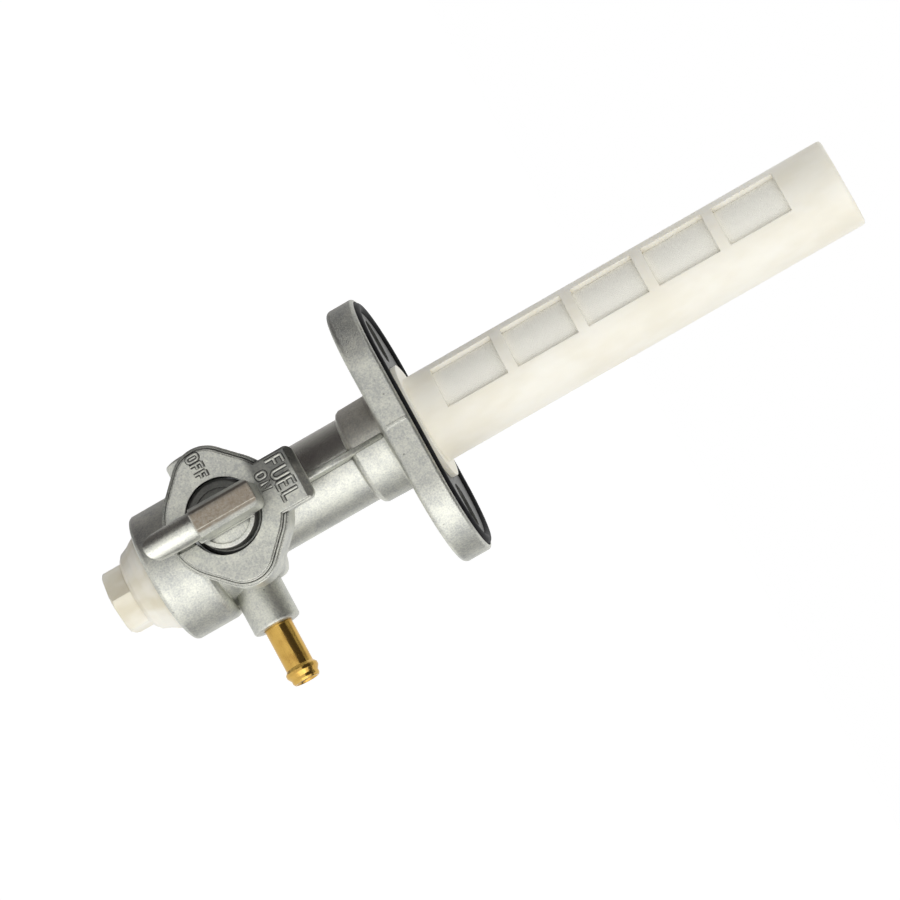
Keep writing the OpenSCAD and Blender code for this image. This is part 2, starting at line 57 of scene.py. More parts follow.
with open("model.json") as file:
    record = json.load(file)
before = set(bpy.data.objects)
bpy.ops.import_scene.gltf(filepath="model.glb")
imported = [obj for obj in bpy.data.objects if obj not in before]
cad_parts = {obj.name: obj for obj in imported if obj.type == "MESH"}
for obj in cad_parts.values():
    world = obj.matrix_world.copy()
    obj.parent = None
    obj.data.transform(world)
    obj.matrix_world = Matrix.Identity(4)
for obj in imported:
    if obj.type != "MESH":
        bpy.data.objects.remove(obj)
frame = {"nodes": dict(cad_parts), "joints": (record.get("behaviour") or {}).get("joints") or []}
CAD_BOX = [list(corner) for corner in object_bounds()]
MM = 0.001


# Places taken from the frame

def node_centre(name):
    """Middle of a node's box."""
    low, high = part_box(name)
    return (low + high) / 2


def tube_radius(name):
    """Outer radius of an upright tube."""
    low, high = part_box(name)
    return (high.x - low.x) / 2


LOWEST_Z = CAD_BOX[0][2]
LEVER_AXIS_Z = frame["joints"][0]["pos_m"][2]
LEVER_FRONT_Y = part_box("lever")[0].y
PIPE_AXIS_Z = node_centre("outlet_pipe").z
BOWL_AXIS_X = node_centre("bowl").x
# The cover plate's face, and the hub in its window, which stands 1 mm out of it
PLATE_FACE_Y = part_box("cover_plate")[0].y
HUB_FACE_Y = PLATE_FACE_Y - 1.0 * MM
HUB_RADIUS = 8.2 * MM
# Outer edge of the flange's seal: the radius of its round ends, and their centres' distance
SEAL_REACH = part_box("flange_seal")[1].y
SEAL_END_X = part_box("flange_seal")[1].x - SEAL_REACH
# The body's column from the flange down: underside of the flange, shoulder, neck and block
FLANGE_LOW_Z = -7.0 * MM
SHOULDER_RADIUS = 11.75 * MM
SHOULDER_LOW_Z = -16.2 * MM
NECK_RADIUS = 10.2 * MM
BLOCK_TOP_Z = -42.0 * MM


# Shader expressions

class Signal:
    """A shader socket used in Python expressions: each operation adds one Math node."""

    def __init__(self, nodes, socket):
        self.nodes = nodes
        self.socket = socket

    def maths(self, operation, *values):
        return self.nodes.maths(operation, self, *values)

    def __add__(self, other):
        return self.maths("ADD", other)

    __radd__ = __add__

    def __sub__(self, other):
        return self.maths("SUBTRACT", other)

    def __rsub__(self, other):
        return self.nodes.maths("SUBTRACT", other, self)

    def __mul__(self, other):
        return self.maths("MULTIPLY", other)

    __rmul__ = __mul__

    def __gt__(self, other):
        return self.maths("GREATER_THAN", other)

    def __abs__(self):
        return self.maths("ABSOLUTE")

    def sine(self):
        return self.maths("SINE")

    def rooted(self):
        return self.maths("SQRT")

    def clamped(self):
        return self.nodes.add("ShaderNodeClamp", {}, {"Value": self})

    def step(self, low, high):
        """0 below low, 1 above high, smooth between them; low may be the larger one."""
        return self.nodes.add(
            "ShaderNodeMapRange",
            {"interpolation_type": "SMOOTHSTEP"},
            {"Value": self, "From Min": low, "From Max": high},
        )


class Nodes:
    """Adds nodes to one node tree."""

    def __init__(self, tree):
        self.tree = tree
        tree.nodes.clear()

    def add(self, kind, settings=None, sockets=None, output=0):
        """One node: its settings are set first, then its sockets get values or links."""
        node = self.tree.nodes.new(kind)
        for name, value in (settings or {}).items():
            setattr(node, name, value)
        for name, value in (sockets or {}).items():
            if isinstance(value, Signal):
                self.tree.links.new(value.socket, node.inputs[name])
            elif value is not None:
                node.inputs[name].default_value = value
        return Signal(self, node.outputs[output]) if node.outputs else None

    def maths(self, operation, *values):
        return self.add("ShaderNodeMath", {"operation": operation}, dict(enumerate(values)))

    def mix(self, factor, first, second, blend="MIX"):
        """A colour that goes from first to second, or to their blend, as far as factor says."""
        return self.add(
            "ShaderNodeMix",
            {"data_type": "RGBA", "blend_type": blend, "clamp_factor": True},
            {0: factor, 6: first, 7: second},
            output=2,
        )

    def multiply(self, factor, first, second):
        """A colour multiplied by another as far as factor says."""
        return self.mix(factor, first, second, "MULTIPLY")

    def position(self):
        """The point in the frame where the piece lies at rest, in metres."""
        return self.add("ShaderNodeTexCoord", output="Object")

    def parts(self, vector):
        """The three parts of a vector."""
        split = self.add("ShaderNodeSeparateXYZ", {}, {0: vector}).socket.node
        return [Signal(self, socket) for socket in split.outputs]

    def scaled(self, vector, amount):
        """A vector times (x, y, z), so a texture can be stretched."""
        return self.add(
            "ShaderNodeVectorMath", {"operation": "MULTIPLY"}, {0: vector, 1: amount}
        )

    def noise(self, vector, size, detail=3.0, roughness=0.55):
        """Noise whose lumps are about size metres across."""
        return self.add(
            "ShaderNodeTexNoise",
            {"noise_dimensions": "3D"},
            {
                "Vector": vector,
                "Scale": 1 / size,
                "Detail": detail,
                "Roughness": roughness,
            },
        )

    def dots(self, vector, size, reach):
        """1 in the middle of scattered round dots, one to a cell of that size."""
        near = self.add(
            "ShaderNodeTexVoronoi", {"feature": "F1"}, {"Vector": vector, "Scale": 1 / size}
        )
        return near.step(reach, 0.0)


class Finish(Nodes):
    """One material with a Principled surface."""

    def __init__(self, name):
        self.material = bpy.data.materials.new(name)
        self.material.use_nodes = True
        super().__init__(self.material.node_tree)

    def surface(self, **sockets):
        """The Principled node; socket names are written with underscores."""
        named = {name.replace("_", " "): value for name, value in sockets.items()}
        shader = self.add("ShaderNodeBsdfPrincipled", {}, named)
        self.add("ShaderNodeOutputMaterial", {}, {"Surface": shader})
        return self.material

    def soft_edges(self, radius):
        """A normal that rounds every edge over that radius."""
        return self.add("ShaderNodeBevel", {"samples": 4}, {"Radius": radius})

    def edge_mask(self, soft):
        """1 on edges and 0 on open faces, read from the rounded normal."""
        true_normal = self.add("ShaderNodeNewGeometry", output="Normal")
        same = self.add(
            "ShaderNodeVectorMath",
            {"operation": "DOT_PRODUCT"},
            {0: soft, 1: true_normal},
            output="Value",
        )
        return (1 - same).step(0.02, 0.25)

    def shelter(self, reach):
        """1 in corners and gaps, 0 in the open: the mask that painted shade follows."""
        open_sky = self.add(
            "ShaderNodeAmbientOcclusion", {"samples": 4}, {"Distance": reach}, output="AO"
        )
        return 1 - open_sky

    def bump(self, height, distance, normal=None):
        """A normal that lifts by distance where height is 1."""
        return self.add(
            "ShaderNodeBump",
            {},
            {"Strength": 1.0, "Distance": distance, "Height": height, "Normal": normal},
        )


# Settings

def colour(name, description, value):
    """A colour property, in linear light."""
    return FloatVectorProperty(
        name=name, description=description, subtype="COLOR", size=4, min=0.0, max=1.0,
        default=(*value, 1.0),
    )


def length(name, description, value):
    """A length property in metres."""
    return FloatProperty(
        name=name, description=description, subtype="DISTANCE", unit="LENGTH", min=0.0,
        precision=5, default=value,
    )


class CastingSettings(bpy.types.PropertyGroup):
    """Colours and grain of the cast parts."""

    clean: colour("Clean skin", "Cast skin where it is bright", (0.735, 0.735, 0.65))
    dull: colour("Dull skin", "Cast skin where it is oxidised", (0.40, 0.41, 0.40))
    # This brown also paints a reflection on the shoulder.
    brown_stain_and_reflection: colour("Stain", "Brown film on the lever", (0.26, 0.20, 0.14))
    # The dark corner colour goes into pits, and into shade painted in corners, in gaps and on shaded
    # sides.
    corner: colour("Corners", "Grime that gathers in corners", (0.035, 0.035, 0.035))
    grain: length("Grain", "Size of the lumps in the cast skin", 0.40 * MM)
    edge: length("Edge radius", "Radius of the softened edges", 0.35 * MM)


class MouldingSettings(bpy.types.PropertyGroup):
    """Colours of the moulded plastic parts and their gauze."""

    ivory: colour("Ivory", "Plastic of the filter tube", (0.95, 0.915, 0.815))
    cream: colour("Cream", "Slightly yellowed plastic", (0.76, 0.70, 0.535))
    gauze: colour("Gauze", "Threads of the woven gauze", (0.97, 0.955, 0.87))
    gap: colour("Gauze holes", "Holes between the threads", (0.95, 0.93, 0.845))
    pitch: length("Gauze pitch", "Distance between two threads", 0.42 * MM)
    edge: length("Edge radius", "Radius of the softened edges", 0.25 * MM)


class BrassSettings(bpy.types.PropertyGroup):
    """Colours of the brass tubes."""

    bright: colour("Bright brass", "Clean brass", (0.63, 0.40, 0.10))
    tarnish: colour("Tarnish", "Darkened brass", (0.42, 0.22, 0.05))
    streak: length("Streak width", "Width of the drawing marks", 0.25 * MM)


class RubberSettings(bpy.types.PropertyGroup):
    """Colours of the seals and the spring."""

    black: colour("Rubber", "Colour of the seals", (0.008, 0.008, 0.009))
    bloom: colour("Bloom", "Pale film on old rubber", (0.022, 0.022, 0.025))
    steel: colour("Spring steel", "Colour of the spring washer", (0.55, 0.56, 0.58))


class LetteringSettings(bpy.types.PropertyGroup):
    """Sizes of the raised words on the cover plate."""

    stroke: length("Stroke", "Width of a letter's stroke", 0.62 * MM)
    proud: length("Relief", "Height of the letters over the plate", 0.30 * MM)
    # The dark line round the letters is painted shade with some dirt.
    shade_and_grime: length("Grime", "Width of the dark line round the letters", 0.20 * MM)


class StageSettings(bpy.types.PropertyGroup):
    """Lamps, floor and camera."""

    floor_drop: length("Floor drop", "Floor's distance below the tap's lowest point", 0.30)
    floor_radius: length("Floor radius", "Radius of the round floor", 9.0)
    fill: FloatProperty(
        name="Fill light", description="Strength of the light from all round",
        min=0.0, max=2.0, default=0.80,
    )
    key_watts: FloatProperty(
        name="Key lamp", description="Power of the main lamp", unit="POWER", min=0.0, default=2.0
    )
    side_watts: FloatProperty(
        name="Side lamp", description="Power of the weaker lamp at the side", unit="POWER",
        min=0.0, default=0.4,
    )
    lens: FloatProperty(
        name="Focal length", description="Camera's focal length", unit="CAMERA", min=1.0,
        default=156.0,
    )
    camera_distance: length("Camera distance", "From the camera to the flange", 0.867)


# Materials

# Films, wear and painted shade that no setting holds
WORN_EDGE = (0.88, 0.88, 0.80, 1.0)
NYLON_CORNER_SHADE = (0.55, 0.52, 0.46, 1.0)
GAUZE_DUST = (0.75, 0.72, 0.72, 1.0)
BRASS_CORNER_SHADE = (0.28, 0.17, 0.06, 1.0)
STEEL_SMUDGE = (0.45, 0.42, 0.38, 1.0)
DRY_SHADE_AND_GRIME = (0.012, 0.012, 0.012, 1.0)
DUSTY_SHADE_AND_GRIME = (0.05, 0.05, 0.047, 1.0)
# How far painted shade reaches out of corners and gaps, on castings, nylon and brass
CASTING_SHELTER = 1.1 * MM
NYLON_SHELTER = 1.5 * MM
BRASS_SHELTER = 1.6 * MM
# Spread of the scattered pits in the cast skin, and the part of a cell that a pit fills
PIT_SPREAD = 3.4 * MM
PIT_REACH = 0.09
HUB_CROWN = 0.9 * MM


def cast_skin(settings, name, film=None, polish=None, grease=None, crown=None, corners=None):
    """Cast light alloy: fine grain, faint clouds, pits, bright edges and painted shade in gaps.

    The first optional function gives 1 where brown staining lies and, on the shoulder, where a brown
    reflection is painted; the second where the skin is rubbed smooth; the third where black shade is
    painted, with other darkening. crown gives the height of a crowned face, and the last function
    gives how much painted shade the corners hold, where 1 is the usual amount.
    """
    finish = Finish(name)
    here = finish.position()
    soft = finish.soft_edges(settings.edge)
    clouds = finish.noise(here, 4.5 * MM, detail=5.0, roughness=0.65)
    grain = finish.noise(here, settings.grain, detail=4.0, roughness=0.65)
    fine = finish.noise(here, 0.12 * MM, detail=2.0)
    tone = (clouds * 0.42 + grain * 0.58).step(0.30, 0.66)
    skin = finish.mix(tone, tuple(settings.dull), tuple(settings.clean))
    pits = finish.dots(here, PIT_SPREAD, PIT_REACH) * (clouds > 0.5)
    skin = finish.mix(pits * 0.7, skin, tuple(settings.corner))
    rough = 0.42 + (grain - 0.5) * 0.24
    grain_depth = 1.0
    # Brown staining on the lever's head, and a painted brown reflection on the shoulder.
    if film:
        speckle = (grain * 0.5 + finish.noise(here, 0.7 * MM, detail=6.0) * 0.5).step(0.30, 0.70)
        brown = film(finish, here) * (0.55 + speckle * 0.40)
        skin = finish.mix(brown, skin, tuple(settings.brown_stain_and_reflection))
    if polish:
        smooth = polish(finish, here)
        skin = finish.mix(smooth * 0.6, skin, tuple(settings.clean))
        rough = rough * (1 - smooth * 0.66)
        grain_depth = 1 - smooth * 0.93
    worn = finish.edge_mask(soft)
    skin = finish.mix(worn * 0.75, skin, WORN_EDGE)
    if grease:
        skin = finish.mix(grease(finish, here), skin, tuple(settings.corner))
    if crown:
        soft = finish.bump(crown(finish, here), HUB_CROWN, soft)
    # Painted shade: corners and gaps darkened towards the dark corner colour, as much as the corner
    # function says.
    gap = finish.shelter(CASTING_SHELTER)
    if corners:
        gap = gap * corners(finish, here)
    skin = finish.multiply(gap.step(0.20, 0.66) * 0.92, skin, tuple(settings.corner))
    relief = (grain * 0.8 + fine * 0.2 - pits * 0.9) * grain_depth
    return finish.surface(
        Base_Color=skin,
        Metallic=0.92,
        Roughness=(rough - worn * 0.16).clamped(),
        Normal=finish.bump(relief, 0.10 * MM, soft),
    )


def neck_polish(finish, here):
    """How smooth the neck is between shoulder and block: smoothest ahead, on its -X side."""
    x, y, z = finish.parts(here)
    radius = (x * x + y * y).rooted()
    return (
        (0.10 + x.step(1.0 * MM, -1.0 * MM) * y.step(5.0 * MM, 0.0) * 0.74)
        * radius.step(NECK_RADIUS + 0.55 * MM, NECK_RADIUS + 0.35 * MM)
        * z.step(BLOCK_TOP_Z + 0.5 * MM, BLOCK_TOP_Z + 1.2 * MM)
        * z.step(SHOULDER_LOW_Z + 0.2 * MM, SHOULDER_LOW_Z - 0.4 * MM)
    )


def head_film(finish, here):
    """1 on the flat front of the lever's head, where fingers leave a brown film."""
    _, y, z = finish.parts(here)
    return (
        y.step(LEVER_FRONT_Y + 1.2 * MM, LEVER_FRONT_Y + 0.5 * MM)
        * z.step(LEVER_AXIS_Z - 5.4 * MM, LEVER_AXIS_Z - 4.4 * MM)
    )


def tail_polish(finish, here):
    """Half rubbed smooth on the front of the lever's tail."""
    _, y, z = finish.parts(here)
    return (
        y.step(LEVER_FRONT_Y + 5.0 * MM, LEVER_FRONT_Y + 3.0 * MM)
        * z.step(LEVER_AXIS_Z - 5.0 * MM, LEVER_AXIS_Z - 6.0 * MM)
        * 0.45
    )


def axis_distance(finish, here):
    """Distance from the lever's turning axis."""
    x, _, z = finish.parts(here)
    rise = z - LEVER_AXIS_Z
    return (x * x + rise * rise).rooted()


def hub_painted_shade(finish, here):
    """Painted shade: black in the gap round the hub, and dark over the -X side of hub and head,
    where the bar's shadow falls.
    """
    x, y, _ = finish.parts(here)
    rim = axis_distance(finish, here).step(HUB_RADIUS - 0.75 * MM, HUB_RADIUS - 0.55 * MM)
    rim = rim * y.step(HUB_FACE_Y - 0.05 * MM, HUB_FACE_Y + 0.15 * MM)
    # Noise that makes the edge of the painted shade ragged.
    edge_wobble = (finish.noise(here, 2.0 * MM, detail=4.0) - 0.5) * (3.0 * MM)
    hub = (x + edge_wobble).step(-1.5 * MM, -4.5 * MM)
    hub = hub * y.step(HUB_FACE_Y - 0.8 * MM, HUB_FACE_Y - 0.4 * MM)
    head = (x + edge_wobble * 0.4).step(-0.6 * MM, -2.4 * MM) * head_film(finish, here)
    return finish.maths("MAXIMUM", rim * 0.94, hub * 0.78 + head * 0.50)


def hub_crown(finish, here):
    """Height of the hub's slightly domed face."""
    _, y, _ = finish.parts(here)
    reach = axis_distance(finish, here) * (1 / HUB_RADIUS)
    return (1 - reach * reach) * y.step(HUB_FACE_Y - 0.6 * MM, HUB_FACE_Y - 0.2 * MM)


def window_shade_and_tab_darkening(finish, here):
    """Painted shade: black in the wall of the plate's window. The tab is also made darker, most
    towards its -X side.
    """
    x, y, z = finish.parts(here)
    wall = axis_distance(finish, here).step(HUB_RADIUS + 0.6 * MM, HUB_RADIUS + 0.45 * MM)
    wall = wall * y.step(PLATE_FACE_Y + 0.05 * MM, PLATE_FACE_Y + 0.25 * MM)
    edge_wobble = finish.noise(here, 2.4 * MM, detail=4.0)
    reach = x + (z - LEVER_AXIS_Z) * 0.15 + (edge_wobble - 0.5) * (7.0 * MM)
    shade_and_grime = reach.step(4.5 * MM, -1.0 * MM)
    shade_and_grime = shade_and_grime * z.step(LEVER_AXIS_Z + 8.5 * MM, LEVER_AXIS_Z + 10.5 * MM)
    return (wall * 0.94 + shade_and_grime * 0.68).clamped()


def flange_shade_and_dark_end(finish, here):
    """Painted shade on the flange's face inside the seal, and darker towards the flange's -X end."""
    x, y, z = finish.parts(here)
    beyond = finish.maths("MAXIMUM", abs(x) - SEAL_END_X, 0.0)
    reach = (beyond * beyond + y * y).rooted()
    # Painted shade on the face inside the seal.
    fuel = reach.step(SEAL_REACH + 0.1 * MM, SEAL_REACH - 0.1 * MM) * z.step(-2.2 * MM, -1.9 * MM)
    edge_wobble = finish.noise(here, 5.0 * MM, detail=4.0)
    dark_end = (x + (edge_wobble - 0.5) * (14.0 * MM)).step(-17.0 * MM, -29.0 * MM)
    dark_end = dark_end * z.step(FLANGE_LOW_Z - 2.0 * MM, FLANGE_LOW_Z)
    return finish.maths("MAXIMUM", fuel * 0.86, dark_end * 0.32)


def body_shade_amount(finish, here):
    """Scales the painted corner shade: more beside the cover plate's -X side, where it stands for
    the plate's shadow, and little in the notch under the outlet boss.
    """
    x, y, z = finish.parts(here)
    drop = z - PIPE_AXIS_Z
    beside_plate = x.step(3.0 * MM, 0.0)
    beside_plate = beside_plate * y.step(PLATE_FACE_Y + 1.7 * MM, PLATE_FACE_Y + 1.3 * MM)
    notch = x.step(8.0 * MM, 10.0 * MM) * drop.step(-4.4 * MM, -5.2 * MM)
    notch = notch * drop.step(-8.2 * MM, -7.4 * MM)
    return 1 + beside_plate * 1.4 - notch * 0.75


def shoulder_painted_reflection(finish, here):
    """A painted brown reflection on the -X side of the shoulder."""
    x, _, z = finish.parts(here)
    return (
        x.step(2.0 * MM, -4.0 * MM)
        * z.step(SHOULDER_LOW_Z - 0.4 * MM, SHOULDER_LOW_Z + 1.2 * MM)
        * z.step(FLANGE_LOW_Z + 0.4 * MM, FLANGE_LOW_Z - 1.0 * MM)
        * 0.40
    )


def moulded_nylon(settings, name, warm=0.35):
    """Milky nylon with faint cloudy yellowing and a satin skin."""
    finish = Finish(name)
    here = finish.position()
    soft = finish.soft_edges(settings.edge)
    clouds = finish.noise(finish.scaled(here, (1.0, 1.0, 0.5)), 9.0 * MM, detail=3.0)
    grain = finish.noise(here, 0.5 * MM, detail=3.0)
    skin = finish.mix(
        clouds.step(0.35, 0.70) * warm, tuple(settings.ivory), tuple(settings.cream)
    )
    # Painted shade: corners and the edges of the windows darkened towards grey-brown.
    shade_and_grime = finish.shelter(NYLON_SHELTER)
    skin = finish.multiply(shade_and_grime.step(0.2, 0.9) * 0.14, skin, NYLON_CORNER_SHADE)
    return finish.surface(
        Base_Color=skin,
        Roughness=(0.42 + (grain - 0.5) * 0.16).clamped(),
        IOR=1.53,
        Subsurface_Weight=0.25,
        Subsurface_Radius=(1.0, 0.9, 0.7),
        Subsurface_Scale=1.6 * MM,
        Normal=finish.bump(grain, 0.02 * MM, soft),
    )


def woven_gauze(settings, name, axis_x, radius):
    """Fine woven gauze round an upright tube."""
    finish = Finish(name)
    here = finish.position()
    x, y, z = finish.parts(here)
    turn = finish.maths("ARCTAN2", y, x - axis_x)
    threads_round = round(2 * math.pi * radius / settings.pitch)
    across = (turn * (threads_round / 2)).sine()
    along = (z * (math.pi / settings.pitch)).sine()
    upright = abs(across)
    level = abs(along)
    holes = (upright * level).step(0.42, 0.80)
    over = across * along
    height = 1 - upright * level + over * 0.25
    dust = finish.noise(here, 2.5 * MM, detail=4.0)
    cloth = finish.mix(holes * 0.5, tuple(settings.gauze), tuple(settings.gap))
    cloth = finish.multiply(dust.step(0.4, 0.7) * 0.06, cloth, GAUZE_DUST)
    return finish.surface(
        Base_Color=cloth,
        Roughness=(0.55 + (dust - 0.5) * 0.15).clamped(),
        Normal=finish.bump(height, 0.06 * MM),
    )


def drawn_brass(settings, name, along):
    """Bright drawn brass with streaks along the tube and soft tarnish."""
    finish = Finish(name)
    here = finish.position()
    soft = finish.soft_edges(0.2 * MM)
    stretch = tuple(0.06 if part else 1.0 for part in along)
    streaks = finish.noise(finish.scaled(here, stretch), settings.streak, detail=3.0)
    patches = finish.noise(here, 3.0 * MM, detail=5.0, roughness=0.6)
    tarnish = (patches * 0.8 + streaks * 0.2).step(0.44, 0.68)
    metal = finish.mix(tarnish * 0.55, tuple(settings.bright), tuple(settings.tarnish))
    # Painted shade: corners and gaps darkened towards dark brown.
    shade_and_grime = finish.shelter(BRASS_SHELTER)
    metal = finish.multiply(shade_and_grime.step(0.2, 0.9) * 0.6, metal, BRASS_CORNER_SHADE)
    return finish.surface(
        Base_Color=metal,
        Metallic=1.0,
        Roughness=(0.14 + tarnish * 0.14 + (streaks - 0.5) * 0.08).clamped(),
        Normal=finish.bump(streaks, 0.012 * MM, soft),
    )


def black_rubber(settings, name):
    """Moulded black rubber with a faint pale bloom."""
    finish = Finish(name)
    here = finish.position()
    bloom = finish.noise(here, 1.8 * MM, detail=4.0)
    grain = finish.noise(here, 0.2 * MM, detail=2.0)
    skin = finish.mix(
        bloom.step(0.48, 0.72) * 0.5, tuple(settings.black), tuple(settings.bloom)
    )
    return finish.surface(
        Base_Color=skin,
        Roughness=(0.50 + (bloom - 0.5) * 0.3).clamped(),
        Specular_IOR_Level=0.10,
        Normal=finish.bump(grain, 0.015 * MM),
    )


def spring_steel(settings, name):
    """Bright rolled steel with fine scratches."""
    finish = Finish(name)
    here = finish.position()
    scratches = finish.noise(finish.scaled(here, (0.1, 1.0, 1.0)), 0.15 * MM, detail=2.0)
    patches = finish.noise(here, 2.0 * MM, detail=4.0)
    metal = finish.multiply(patches.step(0.4, 0.7) * 0.3, tuple(settings.steel), STEEL_SMUDGE)
    return finish.surface(
        Base_Color=metal,
        Metallic=1.0,
        Roughness=(0.30 + (scratches - 0.5) * 0.2).clamped(),
        Normal=finish.bump(scratches, 0.01 * MM),
    )


def outline_shade_and_grime(name):
    """Dark outline round the letters: painted shade, with some dry black dirt."""
    finish = Finish(name)
    dust = finish.noise(finish.position(), 0.8 * MM, detail=4.0)
    film = finish.mix(dust.step(0.35, 0.70), DRY_SHADE_AND_GRIME, DUSTY_SHADE_AND_GRIME)
    return finish.surface(
        Base_Color=film,
        Roughness=(0.65 + (dust - 0.5) * 0.2).clamped(),
        Normal=finish.bump(dust, 0.02 * MM),
    )


def dress(node, material):
    """Gives a carried-over node its material."""
    mesh = frame["nodes"][node].data
    mesh.materials.clear()
    mesh.materials.append(material)


# Lettering

# Name, word, its low -X corner from the lever's axis, height, pitch of the letters, and widening
WORDS = (
    ("word_off", "OFF", (-15.1 * MM, -1.5 * MM), 2.7 * MM, 2.15 * MM, 1.0),
    ("word_on", "ON", (-4.2 * MM, 10.3 * MM), 2.2 * MM, 2.5 * MM, 1.15),
    ("word_fuel", "FUEL", (-5.7 * MM, 13.5 * MM), 3.9 * MM, 2.7 * MM, 0.9),
)
# Height of the dark outline round the letters, painted shade with some dirt.
OUTLINE_PROUD = 0.05 * MM


def arc(centre, radii, start, end, steps=7):
    """Points on an elliptic arc, in degrees anticlockwise from +X."""
    points = []
    for i in range(steps + 1):
        a = math.radians(start + (end - start) * i / steps)
        points.append((centre[0] + radii[0] * math.cos(a), centre[1] + radii[1] * math.sin(a)))
    return points


def strokes_of(letter):
    """Strokes of a block letter in a box 0.5 wide and 1 high: (points, closed) pairs."""
    wide, bar = 0.5, 0.52
    stem = ([(0, 0), (0, 1)], False)
    top = ([(0, 1), (wide, 1)], False)
    middle = ([(0, bar), (wide * 0.85, bar)], False)
    foot = ([(0, 0), (wide, 0)], False)
    bend = wide / 2
    if letter == "F":
        return [stem, top, middle]
    if letter == "E":
        return [stem, top, middle, foot]
    if letter == "L":
        return [stem, foot]
    if letter == "N":
        return [([(0, 0), (0, 1), (wide, 0), (wide, 1)], False)]
    if letter == "U":
        return [([(0, 1)] + arc((bend, bend), (bend, bend), 180, 360) + [(wide, 1)], False)]
    if letter == "O":
        upper = arc((bend, 1 - bend), (bend, bend), 0, 180)
        lower = arc((bend, bend), (bend, bend), 180, 360)
        return [(upper + lower, True)]
    raise ValueError(f"no strokes are drawn for {letter!r}")


def raised_word(name, layout, stroke, proud, material):
    """A word of raised round-topped strokes on the plate's face, reading towards +X."""
    word, start, height, pitch, widen = layout
    curve = bpy.data.curves.new(name, "CURVE")
    curve.dimensions = "3D"
    curve.bevel_depth = stroke / 2
    curve.bevel_resolution = 3
    curve.use_fill_caps = True
    for i, letter in enumerate(word):
        left = start[0] + i * pitch
        for points, closed in strokes_of(letter):
            spline = curve.splines.new("POLY")
            spline.points.add(len(points) - 1)
            spline.use_cyclic_u = closed
            for point, (u, v) in zip(spline.points, points):
                point.co = (left + u * height * widen, 0.0, start[1] + v * height, 1.0)
    shape = bpy.data.objects.new(name, curve)
    bpy.context.scene.collection.objects.link(shape)
    flatten = proud / (stroke / 2)
    shape.matrix_world = (
        Matrix.Translation((0.0, PLATE_FACE_Y, LEVER_AXIS_Z)) @ Matrix.Scale(flatten, 4, (0, 1, 0))
    )
    curve.materials.append(material)
    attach(shape, "tap")
    return shape


# Ribs of the mould's parting line

RIB_HALF_FOOT, RIB_HALF_CREST = 1.25 * MM, 0.55 * MM
RIB_ROUNDING = 0.35 * MM
# The rib's foot is sunk in the neck, its crest stands out of the shoulder, and its ends are sunk
RIB_FOOT, RIB_CREST = NECK_RADIUS - 0.5 * MM, SHOULDER_RADIUS + 0.40 * MM
RIB_LOW_Z, RIB_HIGH_Z = BLOCK_TOP_Z - 0.2 * MM, FLANGE_LOW_Z + 0.4 * MM


def parting_rib(name, side, material):
    """A low rib down the front (side -1) or back (side 1) of the neck and its shoulder."""
    outline = [
        (-RIB_HALF_FOOT, RIB_FOOT), (-RIB_HALF_CREST, RIB_CREST), (RIB_HALF_CREST, RIB_CREST),
        (RIB_HALF_FOOT, RIB_FOOT),
    ]
    mesh = bpy.data.meshes.new(name)
    shape = bmesh.new()
    ends = [
        [shape.verts.new((x, side * y, z)) for x, y in outline]
        for z in (RIB_LOW_Z, RIB_HIGH_Z)
    ]
    shape.faces.new(ends[0])
    shape.faces.new(ends[1])
    for i in range(len(outline)):
        j = (i + 1) % len(outline)
        shape.faces.new((ends[0][i], ends[0][j], ends[1][j], ends[1][i]))
    bmesh.ops.recalc_face_normals(shape, faces=shape.faces)
    long_edges = [e for e in shape.edges if abs(e.verts[0].co.z - e.verts[1].co.z) > MM]
    crests = [e for e in long_edges if abs(e.verts[0].co.y) > (RIB_FOOT + RIB_CREST) / 2]
    bmesh.ops.bevel(
        shape, geom=crests, offset=RIB_ROUNDING, segments=3, affect="EDGES", profile=0.5
    )
    for face in shape.faces:
        face.smooth = True
    shape.to_mesh(mesh)
    shape.free()
    mesh.materials.append(material)
    rib = bpy.data.objects.new(name, mesh)
    bpy.context.scene.collection.objects.link(rib)
    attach(rib, "tap")
    return rib


# Stage

PAPER = (0.86, 0.86, 0.86, 1.0)
PAPER_FIBRES = (0.84, 0.84, 0.84, 1.0)
FLOOR_SIDES = 64
# Lamps: place, and side of the square
KEY_PLACE, KEY_SIZE = (0.50, -0.60, -0.10), 0.80
SIDE_PLACE, SIDE_SIZE = (0.60, -0.25, 0.26), 0.60
LAMP_TARGET = (0.0, 0.0, -0.02)


def flat_mesh(name, corners, material):
    """A flat face through the given corners."""
    mesh = bpy.data.meshes.new(name)
    shape = bmesh.new()
    shape.faces.new([shape.verts.new(corner) for corner in corners])
    shape.to_mesh(mesh)
    shape.free()
    mesh.materials.append(material)
    thing = bpy.data.objects.new(name, mesh)
    bpy.context.scene.collection.objects.link(thing)
    return thing


def seen_ray(nodes):
    """1 for rays that see the background directly, in a mirror or through glass."""
    rays = nodes.add("ShaderNodeLightPath").socket.node.outputs
    kinds = ("Is Camera Ray", "Is Glossy Ray", "Is Transmission Ray")
    camera, glossy, through = (Signal(nodes, rays[kind]) for kind in kinds)
    return (camera + glossy + through).clamped()


def pale_floor_paper(fill):
    """White paper whose lift keeps a lit floor white and leaves the shadow."""
    finish = Finish("pale_floor")
    fibres = finish.noise(finish.position(), 0.02, detail=2.0)
    paper = finish.mix(fibres * 0.3, PAPER, PAPER_FIBRES)
    # What the fill light leaves between the paper's own brightness and white
    level = 1.01 - 0.85 * fill
    lift = finish.mix(seen_ray(finish), (0.0, 0.0, 0.0, 1.0), (level, level, level, 1.0))
    return finish.surface(
        Base_Color=paper, Roughness=0.9, Emission_Color=lift, Emission_Strength=1.0
    )


